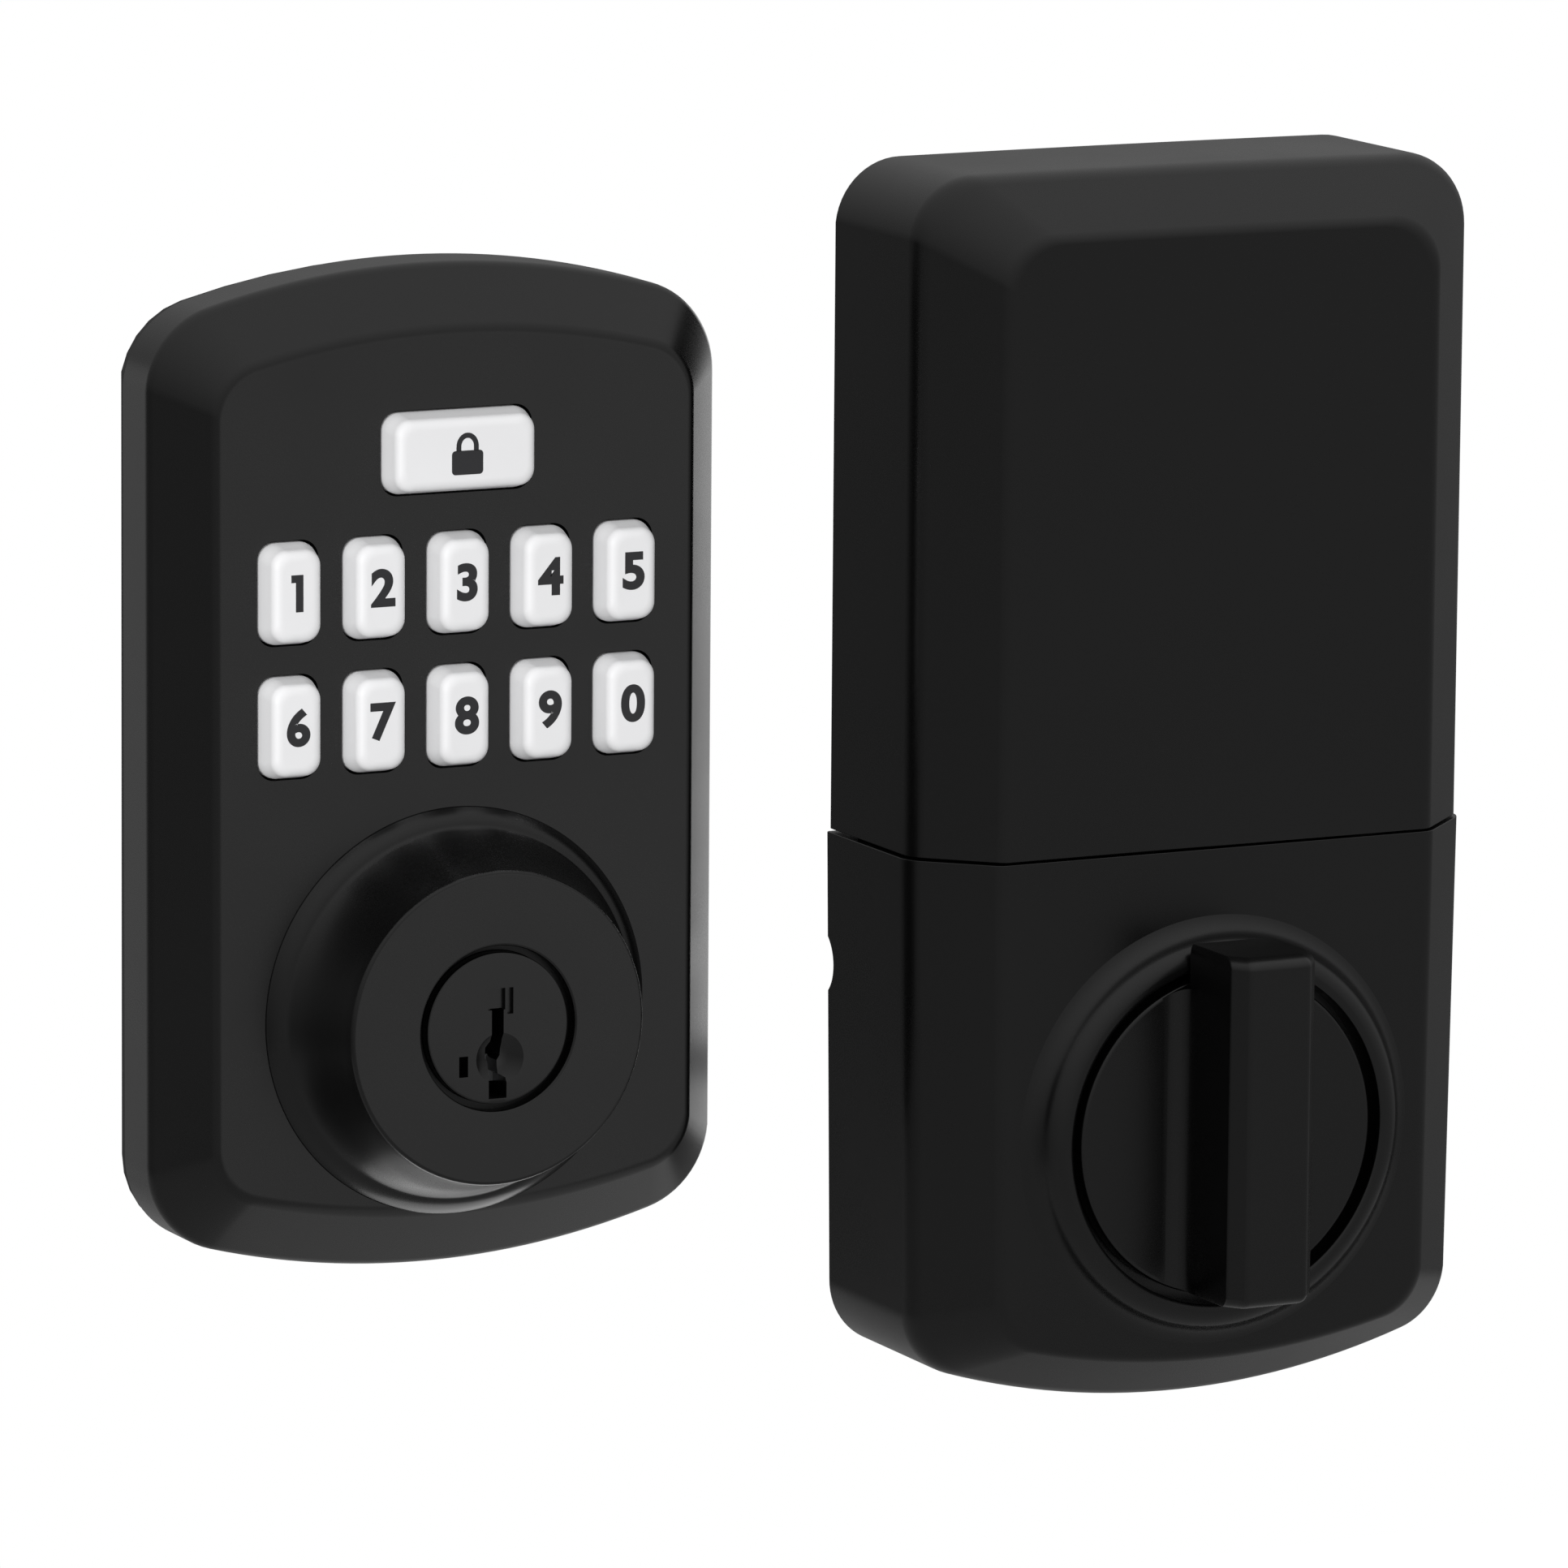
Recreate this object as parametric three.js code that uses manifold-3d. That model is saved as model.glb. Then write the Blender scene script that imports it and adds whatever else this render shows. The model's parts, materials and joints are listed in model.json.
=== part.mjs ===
// Keypad smart lock: the outside keypad unit and the inside battery unit, side by side on one door plane.
// Millimetres, +Z up. The door face is y = 0 and both units face -Y. x = 0, z = 0 is the middle of the
// keypad unit's back.
import * as THREE from "three";
import { mergeVertices } from "three/addons/utils/BufferGeometryUtils.js";
import Module from "manifold-3d";

const wasm = await Module();
wasm.setup();

// ---- Driving sizes -----------------------------------------------------------------------------
const GAP = 0.3; // between parts that touch
const RUNNING = 0.08; // radial clearance of a turning shaft
const FACETS = 48;

const EXT = {
  half: 38.3, top: 62.8, bottom: -63, topArc: 110, bottomArc: 110, corner: 11.5,
  wallDepth: 9.4, faceDepth: 16.2, bevelSide: 6.2, bevelTop: 7.4, bevelBottom: 7.9, faceCorner: 7,
};
const EXT_WALL = 2;
const GASKET = 1.15;
const EXT_BACK = GASKET + GAP;
const BACK_PLATE = 1.6;
const BACK_SCREW = { radius: 1.3, length: 8, headRadius: 2.7, headHeight: 0.9 };
const POST = { shank: 3.2, bore: 2.2, flange: 5, reach: 12 };

const KEY = { width: 7.7, height: 12.6, corner: 2.2, proud: 3.3, draft: 0.8, space: 3.6, travel: 1.2 };
const KEY_ROWS = [{ z: 23.9, names: "12345" }, { z: 7.3, names: "67890" }];
const LOCK_KEY = { z: 40.3, width: 19.95, height: 10.1 };
const KEY_FLANGE = { lip: 0.7, thick: 1 };
const KEY_CLEARANCE = 0.25;
const SHEET = 0.9; // rubber sheet behind the keys
const CIRCUIT = 1.6; // circuit board

const CYL_Z = -29.8; // key cylinder axis above the keypad unit's middle
const PLUG = { radius: 9.5, front: 28.8, back: 5, groove: 1 };
const PLUG_MOUTH = PLUG.radius + 0.85; // opening in the front ring
const CYLINDER_BODY = { radius: PLUG.radius + 7, back: 7 };
const BELL = { ringRadius: CYLINDER_BODY.radius + 3.15, ringDepth: PLUG.front + 0.3, lip: 1.6, flare: 5.7 };
const KEYWAY = { width: 1.5, top: 2.4, bottom: -8.3, depth: 19.6 };
const WAFER = { count: 5, thick: 1.1, width: 5.2, first: 13.2, pitch: 2.6, slack: 0.15 };
const WAFER_HEIGHT = 2 * PLUG.radius - 4.2;
const BLADE = { wide: 2.5, tall: 6, reach: 28 };
const BOLT_OFFSET = 19; // through-bolts each side of the bore axis

const INT_X = 98.8;
const INT = {
  half: 39.45, top: 71.85, bottom: -86.35, topArc: 5000, bottomArc: 108, corner: 9,
  wallDepth: 22.9, faceDepth: 31.5, bevelSide: 8.9, bevelTop: 7.3, bevelBottom: 6.4, faceCorner: 7,
};
const INT_WALL = 2.2;
const SEAM = { z: -14.2, gap: 0.6, flare: 0.45 };
const TURN_Z = -50.4;
const TURN = { radius: 20.75, front: 34.8, thick: 2.7, hub: 7, barWidth: 12, proud: 13.8 };
const BAR = { top: TURN.radius + 4.35, bottom: 0.85 - TURN.radius };
const BOSS = { bore: TURN.radius + 1.25, rimWall: 1.2, flare: 4, rimDepth: TURN.front + 0.4 };
const MOUNT_PLATE = 2;
const CHASSIS = 1.8;
const BOLT = { radius: 2.5, length: 24, headRadius: 4.5, headHeight: 2.8 };
const CHASSIS_SCREW = { radius: 1.5, length: 4.4, headRadius: 3, headHeight: 1.8 };
const SPINDLE = { radius: 5, journal: 6, square: 6, thrust: 8 };
const CELL = { radius: 7.1, length: 50.2, low: 4.2, space: 0.8 };
const CONTROL = { x: -25.3, z: -37.5, width: 19, height: 65, back: 6.8 };
const PROGRAM_KEY = { x: -25, z: -9, radius: 2, front: 15, body: 12.5 };
const WIRE_NOTCH = { radius: 4.7, z: -31.3 };

const GEAR = { module: 1, main: 28, idler: 16, pinion: 10, width: 4, front: 24.5, slack: 0.2 };
const IDLER_PIN = { radius: 2 };
const MOTOR_SHAFT = { radius: 1 };
const IDLER_ANGLE = THREE.MathUtils.degToRad(50);
const PINION_ANGLE = THREE.MathUtils.degToRad(25);

// ---- Finishes ----------------------------------------------------------------------------------
const finish = (color, roughness, metalness) => ({ color, roughness, metalness });
const PAINT = finish(0x2c2c2e, 0.45, 0.4);
const KEYCAP = finish(0xe6e6e6, 0.5, 0);
const PLASTIC = finish(0x1d1d1f, 0.6, 0);
const STEEL = finish(0xa9abad, 0.35, 1);
const RUBBER = finish(0x17171a, 0.85, 0);
const BOARD = finish(0x1f5a38, 0.5, 0);
const CELL_SKIN = finish(0x30323a, 0.35, 0.3);
const GEAR_NYLON = finish(0xd9d4c6, 0.5, 0);

// ---- Solids ------------------------------------------------------------------------------------
function toSolid(geometry) {
  geometry.deleteAttribute("normal");
  geometry.deleteAttribute("uv");
  const welded = mergeVertices(geometry, 1e-4);
  const vertProperties = new Float32Array(welded.attributes.position.array);
  const triVerts = new Uint32Array(welded.index.array);
  return new wasm.Manifold(new wasm.Mesh({ numProp: 3, vertProperties, triVerts }));
}

// Skin through sections of [x, z] points at falling y, closed by flat ends.
function loft(sections) {
  const count = sections[0].points.length;
  const positions = [];
  for (const { y, points } of sections) {
    for (const [x, z] of points) positions.push(x, y, z);
  }
  const index = [];
  for (let s = 0; s < sections.length - 1; s++) {
    for (let k = 0; k < count; k++) {
      const a = s * count + k;
      const b = s * count + ((k + 1) % count);
      index.push(a, b, b + count, a, b + count, a + count);
    }
  }
  const cap = ({ points }) =>
    THREE.ShapeUtils.triangulateShape(points.map(([x, z]) => new THREE.Vector2(x, z)), []);
  for (const [a, b, c] of cap(sections[0])) index.push(a, c, b);
  const last = (sections.length - 1) * count;
  for (const [a, b, c] of cap(sections[sections.length - 1])) index.push(last + a, last + b, last + c);
  const geometry = new THREE.BufferGeometry();
  geometry.setAttribute("position", new THREE.Float32BufferAttribute(positions, 3));
  geometry.setIndex(index);
  return toSolid(geometry);
}

const prism = (points, back, front) => loft([{ y: back, points }, { y: front, points }]);

function box(x0, x1, y0, y1, z0, z1) {
  return prism([[x0, z0], [x1, z0], [x1, z1], [x0, z1]], Math.max(y0, y1), Math.min(y0, y1));
}

// Turned part about the Y axis at (x, z) from [radius, y] points.
function turned(profile, x, z, facets = FACETS) {
  const points = profile.map(([r, y]) => new THREE.Vector2(r, y));
  return toSolid(new THREE.LatheGeometry([...points, points[0]], facets)).translate([x, 0, z]);
}

const rod = (radius, back, front, x, z, facets = FACETS) =>
  turned([[0, front], [radius, front], [radius, back], [0, back]], x, z, facets);

const tube = (outer, inner, back, front, x, z, facets = FACETS) =>
  turned([[inner, front], [outer, front], [outer, back], [inner, back]], x, z, facets);

function roundedRect(x, z, width, height, radius, steps = 3) {
  const points = [];
  const corners = [[1, 1, 0], [-1, 1, 90], [-1, -1, 180], [1, -1, 270]];
  for (const [sx, sz, start] of corners) {
    for (let k = 0; k <= steps; k++) {
      const angle = THREE.MathUtils.degToRad(start + (90 * k) / steps);
      points.push([
        x + sx * (width / 2 - radius) + radius * Math.cos(angle),
        z + sz * (height / 2 - radius) + radius * Math.sin(angle),
      ]);
    }
  }
  return points;
}

// Plate outline: straight sides, arched top and bottom, filleted corners.
function outline({ half, top, bottom, topArc, bottomArc, corner }, x = 0) {
  const points = [];
  const arc = (cx, cz, radius, from, to, steps) => {
    for (let k = 0; k < steps; k++) {
      const angle = from + ((to - from) * k) / steps;
      points.push([x + cx + radius * Math.cos(angle), cz + radius * Math.sin(angle)]);
    }
  };
  const lean = (radius) => Math.asin((half - corner) / (radius - corner));
  const lift = (radius) => Math.sqrt((radius - corner) ** 2 - (half - corner) ** 2);
  const [tLean, bLean] = [lean(topArc), lean(bottomArc)];
  const topZ = top - topArc;
  const bottomZ = bottom + bottomArc;
  const quarter = Math.PI / 2;
  arc(half - corner, topZ + lift(topArc), corner, 0, quarter - tLean, 6);
  arc(0, topZ, topArc, quarter - tLean, quarter + tLean, 10);
  arc(corner - half, topZ + lift(topArc), corner, quarter + tLean, 2 * quarter, 6);
  arc(corner - half, bottomZ - lift(bottomArc), corner, 2 * quarter, 3 * quarter - bLean, 6);
  arc(0, bottomZ, bottomArc, 3 * quarter - bLean, 3 * quarter + bLean, 10);
  arc(half - corner, bottomZ - lift(bottomArc), corner, 3 * quarter + bLean, 4 * quarter, 6);
  return points;
}

// Outline moved inwards by a distance all round, less the share of the bevel.
function inset(unit, distance, share = 0) {
  const corner = THREE.MathUtils.lerp(unit.corner, unit.faceCorner, share);
  return {
    ...unit,
    half: unit.half - distance - share * unit.bevelSide,
    top: unit.top - distance - share * unit.bevelTop,
    bottom: unit.bottom + distance + share * unit.bevelBottom,
    corner: Math.max(corner - distance, 2),
  };
}

// Bevelled body of a unit, wall thickness inside its outer skin.
function bevelled(unit, distance, back, x) {
  const bevelRise = unit.faceDepth - unit.wallDepth;
  const wall = unit.wallDepth - distance * 0.4;
  const face = unit.faceDepth - distance;
  const at = (depth, share) => ({ y: -depth, points: outline(inset(unit, distance, share), x) });
  const soft = 0.6 / bevelRise;
  const faceShare = 1 - (distance * 0.4) / unit.bevelSide;
  return loft([
    { y: -back, points: outline(inset(unit, distance), x) },
    at(wall - 0.6, 0),
    at(wall + 0.1, soft * 0.35),
    at(wall + 0.8, soft * 1.4),
    at(face - 0.7, faceShare - soft * 1.3),
    at(face - 0.15, faceShare - soft * 0.45),
    at(face, faceShare + 0.05),
  ]);
}

const shell = (unit, wall, back, x) => bevelled(unit, 0, back, x).subtract(bevelled(unit, wall, back - 3, x));

const plate = (unit, distance, back, front, x = 0) =>
  prism(outline(inset(unit, distance), x), -back, -front);

const hexagon = (x, z, radius) => [0, 60, 120, 180, 240, 300]
  .map(THREE.MathUtils.degToRad)
  .map((angle) => [x + radius * Math.cos(angle), z + radius * Math.sin(angle)]);

// Cap screw along Y seated at y = seat: head in front and shank behind, or the other way when flipped.
function screw(x, z, seat, { radius, length, headRadius, headHeight }, flipped = false) {
  const body = turned([
    [0, -headHeight], [headRadius - 0.3, -headHeight], [headRadius, 0.3 - headHeight], [headRadius, 0],
    [radius, 0], [radius, length - 0.6], [radius - 0.6, length], [0, length],
  ], 0, 0, 16).subtract(prism(hexagon(0, 0, headRadius * 0.45), -headHeight * 0.4, -headHeight - 1));
  return (flipped ? body.mirror([0, 1, 0]) : body).translate([x, seat, z]);
}

const group = new THREE.Group();
group.name = "keypad_smart_lock";

function addPart(name, solid, { color, roughness, metalness }) {
  const { numProp, vertProperties, triVerts } = solid.getMesh();
  const positions = new Float32Array((vertProperties.length / numProp) * 3);
  for (let v = 0; v < positions.length / 3; v++) {
    for (let axis = 0; axis < 3; axis++) positions[3 * v + axis] = vertProperties[numProp * v + axis];
  }
  const geometry = new THREE.BufferGeometry();
  geometry.setAttribute("position", new THREE.BufferAttribute(positions, 3));
  geometry.setIndex(new THREE.BufferAttribute(new Uint32Array(triVerts), 1));
  geometry.computeVertexNormals();
  const mesh = new THREE.Mesh(geometry, new THREE.MeshStandardMaterial({ color, roughness, metalness }));
  mesh.name = name;
  group.add(mesh);
}

const union = (solids) => solids.reduce((whole, part) => whole.add(part));

// ---- Keypad unit -------------------------------------------------------------------------------
const keyPitch = KEY.width + KEY.space;
const keys = KEY_ROWS.flatMap(({ z, names }) =>
  [...names].map((name, column) => ({
    name: `key_${name}`, x: (column - 2) * keyPitch, z, width: KEY.width, height: KEY.height,
  })));
keys.push({ name: "lock_key", x: 0, z: LOCK_KEY.z, width: LOCK_KEY.width, height: LOCK_KEY.height });

const faceInner = EXT.faceDepth - EXT_WALL;
const bossX = EXT.half - 10.8;
const bossSpots = [EXT.top - 16.8, EXT.bottom + 19].flatMap((z) => [[-bossX, z], [bossX, z]]);
const bossRadius = 3.2;
const bossBore = BACK_SCREW.radius + 0.2;
const bossFront = faceInner - 0.4;
const screwPass = BACK_SCREW.radius + 0.5;
const plateBack = EXT_BACK + BACK_SCREW.headHeight + GAP;
const plateFront = plateBack + BACK_PLATE;

let exteriorHousing = shell(EXT, EXT_WALL, EXT_BACK, 0);
const bellBase = BELL.ringRadius + BELL.flare;
const bellBore = CYLINDER_BODY.radius + GAP;
const bellBack = bossFront - 0.1;
const bell = turned([
  [PLUG_MOUTH, -BELL.ringDepth],
  [BELL.ringRadius - 0.35, -BELL.ringDepth],
  [BELL.ringRadius, -BELL.ringDepth + 0.3],
  [BELL.ringRadius + 1.1, -EXT.faceDepth - 8.4],
  [BELL.ringRadius + 2.3, -EXT.faceDepth - 4.4],
  [BELL.ringRadius + 3.4, -EXT.faceDepth - 1.7],
  [bellBase - 1.1, -EXT.faceDepth - 0.5],
  [bellBase, -EXT.faceDepth + 0.1],
  [bellBase, -bellBack],
  [bellBore, -bellBack],
  [bellBore, -BELL.ringDepth + BELL.lip],
  [PLUG_MOUTH, -BELL.ringDepth + BELL.lip],
], 0, CYL_Z, 64);
exteriorHousing = exteriorHousing
  .subtract(rod(bellBore + 1, 0, -EXT.faceDepth - 4, 0, CYL_Z, 64))
  .add(bell);
for (const [x, z] of bossSpots) {
  exteriorHousing = exteriorHousing
    .add(rod(bossRadius, -plateFront - GAP, -bossFront - 0.6, x, z, 24))
    .subtract(rod(bossBore, 0, -bossFront + 0.6, x, z, 24));
}
for (const { x, z, width, height } of keys) {
  const hole = roundedRect(x, z, width + 2 * KEY_CLEARANCE, height + 2 * KEY_CLEARANCE, KEY.corner);
  exteriorHousing = exteriorHousing.subtract(prism(hole, -faceInner + 1, -EXT.faceDepth - 1));
}
addPart("exterior_housing", exteriorHousing, PAINT);

addPart("exterior_gasket",
  plate(EXT, 0.3, 0, GASKET).subtract(rod(bellBase - 1.5, 1, -GASKET - 1, 0, CYL_Z)), RUBBER);

let backPlate = plate(EXT, EXT_WALL + GAP, plateBack, plateFront)
  .subtract(rod(PLUG.radius + 0.5, 0, -plateFront - 1, 0, CYL_Z))
  .subtract(box(-7, 7, 0, -plateFront - 1, -6, 2));
for (const [x, z] of bossSpots) {
  backPlate = backPlate.subtract(rod(screwPass, 0, -plateFront - 1, x, z, 24));
}
for (const side of [-1, 1]) {
  backPlate = backPlate.subtract(rod(POST.shank + GAP, 0, -plateFront - 1, side * BOLT_OFFSET, CYL_Z, 24));
}
addPart("exterior_back_plate", backPlate, STEEL);
bossSpots.forEach(([x, z], k) => {
  addPart(`back_plate_screw_${k + 1}`,
    screw(x, z, GAP - plateBack, BACK_SCREW, true), STEEL);
});
const postFront = CYLINDER_BODY.back - 2 * GAP;
[["left", -1], ["right", 1]].forEach(([side, sign]) => {
  const post = turned([
    [0, -postFront], [POST.flange, -postFront], [POST.flange, -plateFront - GAP],
    [POST.shank, -plateFront - GAP], [POST.shank, POST.reach], [POST.bore, POST.reach],
    [POST.bore, 2 - postFront * 0.8], [0, 2 - postFront * 0.8],
  ], sign * BOLT_OFFSET, CYL_Z, 24);
  addPart(`mounting_post_${side}`, post, STEEL);
});

// ---- Keys, rubber sheet and board --------------------------------------------------------------
function keyCap({ x, z, width, height }) {
  const flangeFront = faceInner - GAP;
  const at = (depth, shrink) => ({
    y: -depth,
    points: roundedRect(x, z, width - 2 * shrink, height - 2 * shrink, KEY.corner - shrink * 0.5),
  });
  const front = EXT.faceDepth + KEY.proud;
  const cap = loft([
    at(flangeFront - 0.5, 0), at(EXT.faceDepth, 0.02), at(front - 0.75, KEY.draft * 0.62),
    at(front - 0.25, KEY.draft * 0.85), at(front - 0.05, KEY.draft * 1.15), at(front, KEY.draft * 1.6),
  ]);
  const lip = 2 * (KEY_FLANGE.lip + KEY_CLEARANCE);
  return cap.add(prism(
    roundedRect(x, z, width + lip, height + lip, KEY.corner), -flangeFront + KEY_FLANGE.thick, -flangeFront));
}
for (const key of keys) addPart(key.name, keyCap(key), KEYCAP);

const keyBack = faceInner - GAP - KEY_FLANGE.thick;
const sheetFront = keyBack - KEY.travel - GAP;
const boardFront = sheetFront - SHEET - GAP;
const boardBack = boardFront - CIRCUIT;
const sheetTop = LOCK_KEY.z + LOCK_KEY.height / 2 + 2.7;
const sheetLow = KEY_ROWS[1].z - KEY.height / 2 - 3;
const sheet = [0, (sheetTop + sheetLow) / 2, 5 * keyPitch + 1.5, sheetTop - sheetLow];
const clearOfBosses = (solid) => bossSpots.reduce(
  (rest, [x, z]) => rest.subtract(rod(bossRadius + 2 * GAP, 0, -EXT.faceDepth, x, z, 24)), solid);
addPart("keypad_membrane", clearOfBosses(
  prism(roundedRect(...sheet, 3), -sheetFront + SHEET, -sheetFront)), RUBBER);
addPart("keypad_board", clearOfBosses(
  prism(roundedRect(...sheet, 2), -boardBack, -boardFront)), BOARD);
addPart("keypad_cable_socket",
  box(-6, 6, -boardBack + GAP, -plateFront - GAP, 4, 11)
    .subtract(box(-4.8, 4.8, -boardBack + 1.4, 0, 5.4, 9.6)), GEAR_NYLON);

// ---- Key cylinder ------------------------------------------------------------------------------
const bodyFront = BELL.ringDepth - BELL.lip - GAP;
addPart("cylinder_body",
  tube(CYLINDER_BODY.radius, PLUG.radius + RUNNING, -CYLINDER_BODY.back, -bodyFront, 0, CYL_Z, 64), PAINT);

const wafers = Array.from({ length: WAFER.count }, (_, k) => WAFER.first + k * WAFER.pitch);
const grooveFront = CYLINDER_BODY.back - GAP;
const grooveBack = grooveFront - PLUG.groove;
const grooveRadius = PLUG.radius - PLUG.groove;
let plug = turned([
  [0, -PLUG.front], [PLUG.radius - 0.25, -PLUG.front], [PLUG.radius, -PLUG.front + 0.25],
  [PLUG.radius, -grooveFront], [grooveRadius, -grooveFront], [grooveRadius, -grooveBack],
  [PLUG.radius, -grooveBack], [PLUG.radius, -PLUG.back], [0, -PLUG.back],
], 0, CYL_Z, 64);
const bladeFront = PLUG.back + 2.6;
const way = KEYWAY.width / 2;
const keyway = [
  [-way, KEYWAY.top], [-way, -3.6], [-way - 1.1, -4.2], [-way - 1.1, -6.2], [-way, -6.6],
  [-way, KEYWAY.bottom], [way, KEYWAY.bottom], [way, -6.2], [way - 1, -5.8], [way - 1, -4.4],
  [way, -3.8], [way, KEYWAY.top],
].map(([x, z]) => [x, z + CYL_Z]);
const behindFront = -PLUG.front + KEYWAY.depth;
plug = plug
  .subtract(prism(keyway, behindFront, -PLUG.front - 1))
  .subtract(box(-0.9, 0.9, -PLUG.front + 0.5, -PLUG.front - 1, CYL_Z + 2.4, CYL_Z + 5))
  .subtract(box(1.6, 2, -PLUG.front + 0.4, -PLUG.front - 1, CYL_Z + 1.3, CYL_Z + 5.3))
  .subtract(box(-5.2, -4, -PLUG.front + 4, -PLUG.front - 1, CYL_Z - 5.8, CYL_Z - 3.2))
  .subtract(turned([[0, -PLUG.front - 1], [4, -PLUG.front - 1], [3.2, -PLUG.front],
    [1.8, -PLUG.front + 0.7], [0, -PLUG.front + 0.9]], 0.3, CYL_Z - 3.8, 32))
  .subtract(box(-BLADE.wide / 2 - GAP, BLADE.wide / 2 + GAP, 0, -bladeFront - GAP,
    CYL_Z - BLADE.tall / 2 - GAP, CYL_Z + BLADE.tall / 2 + GAP));
const waferSlot = WAFER.width / 2 + WAFER.slack;
for (const depth of wafers) {
  plug = plug.subtract(box(-waferSlot, waferSlot, -depth + WAFER.slack, -depth - WAFER.thick - WAFER.slack,
    CYL_Z - WAFER_HEIGHT / 2 - WAFER.slack, CYL_Z + PLUG.radius + 1));
}
addPart("cylinder_plug", plug, PAINT);
wafers.forEach((depth, k) => {
  const wafer = prism(
    roundedRect(0, CYL_Z, WAFER.width, WAFER_HEIGHT, 1), -depth, -depth - WAFER.thick)
    .subtract(box(-1.8, 1.8, 0, -PLUG.front, CYL_Z - 4.4 + (k % 3) * 0.4, CYL_Z + 3));
  addPart(`wafer_${k + 1}`, wafer, STEEL);
});
addPart("plug_clip",
  tube(PLUG.radius + 1.9, grooveRadius + 0.1, -grooveBack - 0.15, -grooveFront + 0.15, 0, CYL_Z)
    .subtract(box(-4, 4, 0, -grooveFront - 1, CYL_Z - PLUG.radius - 4, CYL_Z)), STEEL);
addPart("torque_blade", box(-BLADE.wide / 2, BLADE.wide / 2, BLADE.reach, -bladeFront,
  CYL_Z - BLADE.tall / 2, CYL_Z + BLADE.tall / 2), STEEL);

// ---- Battery unit: covers ----------------------------------------------------------------------
const intBack = GAP;
const wholeCover = shell(INT, INT_WALL, intBack, INT_X);
const beyond = INT.half + 20;
const upperHalf = box(INT_X - beyond, INT_X + beyond, 5, -60, SEAM.z + SEAM.gap / 2, INT.top + 20);
const lowerHalf = box(INT_X - beyond, INT_X + beyond, 5, -60, INT.bottom - 20, SEAM.z - SEAM.gap / 2);
addPart("battery_cover", wholeCover.intersect(upperHalf), PAINT);

// The lower housing stands a little wider at the seam and draws in towards its foot.
const flare = (z) => SEAM.flare * (1 + (z - SEAM.z) / 28);
const bossBack = INT.faceDepth - INT_WALL - 0.4;
const bossFloor = INT.faceDepth + 0.3;
const rimRadius = BOSS.bore + BOSS.rimWall;
let interiorHousing = wholeCover.intersect(lowerHalf).warp((vertex) => {
  const spread = Math.max(flare(vertex[2]), -0.35);
  vertex[0] = INT_X + (vertex[0] - INT_X) * (1 + spread / INT.half);
});
interiorHousing = interiorHousing
  .subtract(rod(TURN.hub + 4, -INT.wallDepth, -BOSS.rimDepth, INT_X, TURN_Z, 64))
  .add(turned([
    [TURN.hub + RUNNING, -bossBack],
    [TURN.hub + RUNNING, -bossFloor],
    [BOSS.bore, -bossFloor],
    [BOSS.bore, -BOSS.rimDepth + 0.3],
    [BOSS.bore + 0.3, -BOSS.rimDepth],
    [rimRadius, -BOSS.rimDepth],
    [rimRadius + 0.9, -BOSS.rimDepth + 0.5],
    [rimRadius + 1.8, -BOSS.rimDepth + 1.8],
    [rimRadius + 2.9, -INT.faceDepth - 0.6],
    [rimRadius + BOSS.flare, -INT.faceDepth + 0.1],
    [rimRadius + BOSS.flare, -bossBack],
  ], INT_X, TURN_Z, 64))
  .subtract(toSolid(new THREE.CylinderGeometry(WIRE_NOTCH.radius, WIRE_NOTCH.radius, 8, 24)
    .rotateZ(Math.PI / 2)).translate([INT_X - INT.half, WIRE_NOTCH.radius / 2, WIRE_NOTCH.z]));
addPart("interior_housing", interiorHousing, PAINT);

// ---- Battery unit: plate, chassis and cells ----------------------------------------------------
const chassisBack = MOUNT_PLATE + GAP * 2;
const chassisFront = chassisBack + CHASSIS;
const cutDepth = -chassisFront - 1;
const chassisScrews = [
  [INT_X - INT.half + 9.4, INT.top - 10.3],
  [INT_X + INT.half - 9.4, INT.top - 10.3],
  [INT_X, INT.bottom + 8.3],
];
const screwBore = CHASSIS_SCREW.radius + GAP;
const boltX = [INT_X - BOLT_OFFSET, INT_X + BOLT_OFFSET];

let mountingPlate = plate(INT, INT_WALL + 1, 0, MOUNT_PLATE, INT_X)
  .subtract(rod(SPINDLE.thrust + 4, 1, cutDepth, INT_X, TURN_Z))
  .subtract(box(INT_X - 7, INT_X + 7, 1, cutDepth, -36, -28));
let chassis = plate(INT, INT_WALL + 1.4, chassisBack, chassisFront, INT_X)
  .subtract(rod(SPINDLE.journal + RUNNING, 0, cutDepth, INT_X, TURN_Z))
  .subtract(box(INT_X - 7, INT_X + 7, 1, cutDepth, -36, -28));
for (const x of boltX) {
  mountingPlate = mountingPlate.subtract(rod(BOLT.radius + GAP, 1, cutDepth, x, TURN_Z, 24));
  chassis = chassis.subtract(rod(BOLT.headRadius + 0.5, 1, cutDepth, x, TURN_Z, 24));
}
for (const [x, z] of chassisScrews) {
  mountingPlate = mountingPlate.subtract(rod(screwBore, 1, cutDepth, x, z, 24));
  chassis = chassis.subtract(rod(screwBore, 1, cutDepth, x, z, 24));
}
addPart("interior_mounting_plate", mountingPlate, STEEL);
chassisScrews.forEach(([x, z], k) => {
  addPart(`chassis_screw_${k + 1}`,
    screw(x, z, -chassisFront - GAP, CHASSIS_SCREW), STEEL);
});
["left", "right"].forEach((side, k) => {
  addPart(`mounting_bolt_${side}`,
    screw(boltX[k], TURN_Z, -MOUNT_PLATE - GAP, BOLT), STEEL);
});

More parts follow.
